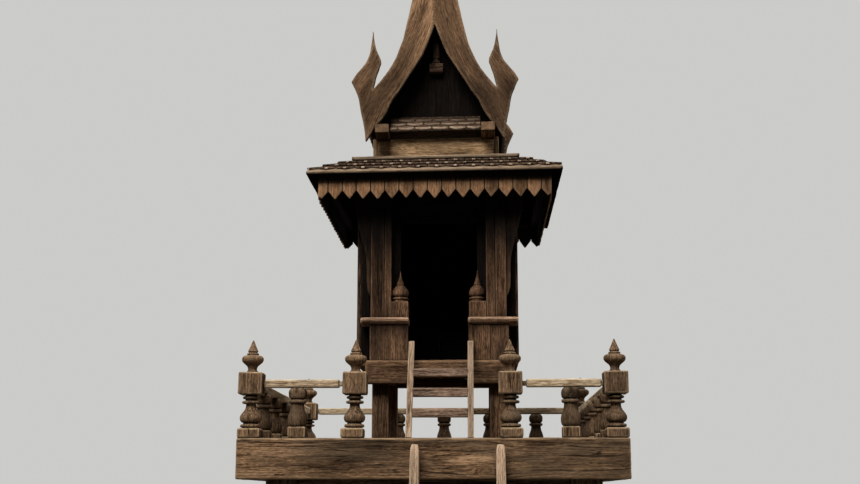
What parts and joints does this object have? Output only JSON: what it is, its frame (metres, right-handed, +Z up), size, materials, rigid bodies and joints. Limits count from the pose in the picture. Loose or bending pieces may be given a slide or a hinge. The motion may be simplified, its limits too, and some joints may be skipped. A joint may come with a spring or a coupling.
{
  "type": "spirit house",
  "caption": "Small weathered timber spirit house on a railed platform with a four-legged stand, two ladders, a hipped skirt roof and a steep curved gable.",
  "frame": {"origin": "on the ground, at the middle of the whole object's box", "axes": "+Z up, -Y out of the front towards the ground ladder, +X to the right seen from the front"},
  "size_m": [0.52, 0.8724, 1.778],
  "materials": {
    "stand_timber": "weathered, matt",
    "deck_timber": "weathered, matt",
    "turned_timber": "weathered, matt",
    "rail_timber": "weathered, matt",
    "ladder_timber": "weathered, matt",
    "base_timber": "weathered, matt",
    "porch_timber": "weathered, matt",
    "wall_timber": "weathered, matt",
    "roof_shingle": "weathered, matt",
    "valance_timber": "weathered, matt",
    "bargeboard_timber": "weathered, matt"
  },
  "bodies": {
    "root": {"stand_legs": "stand_timber", "stand_top_rails": "stand_timber", "stand_stretchers": "stand_timber", "deck": "deck_timber", "deck_front_board": "deck_timber", "deck_rear_board": "deck_timber", "deck_side_boards": "deck_timber", "corner_newels": "turned_timber", "gate_newels": "turned_timber", "balusters": "turned_timber", "porch_newels": "turned_timber", "hand_rails": "rail_timber", "ground_ladder_rails": "ladder_timber", "ground_ladder_rungs": "ladder_timber", "house_ladder_rails": "ladder_timber", "house_ladder_rungs": "ladder_timber", "house_legs": "base_timber", "house_front_beam": "base_timber", "house_floor_beams": "base_timber", "house_floor": "base_timber", "porch_panels": "porch_timber", "porch_ledges": "porch_timber", "porch_posts": "porch_timber", "eave_brackets": "porch_timber", "front_wall_sides": "wall_timber", "front_wall_head": "wall_timber", "side_walls": "wall_timber", "rear_wall": "wall_timber", "frieze_front_rear": "wall_timber", "frieze_sides": "wall_timber", "gable_panels": "wall_timber", "roof_purlins": "wall_timber", "skirt_roof_front_rear": "roof_shingle", "skirt_roof_sides": "roof_shingle", "skirt_top_board": "roof_shingle", "gable_pents": "roof_shingle", "gable_roof_left": "roof_shingle", "gable_roof_right": "roof_shingle", "ridge_cap": "roof_shingle", "valance_front": "valance_timber", "valance_rear": "valance_timber", "valance_sides": "valance_timber", "eave_battens": "valance_timber", "bargeboard_front": "bargeboard_timber", "bargeboard_rear": "bargeboard_timber"}
  },
  "joints": []
}
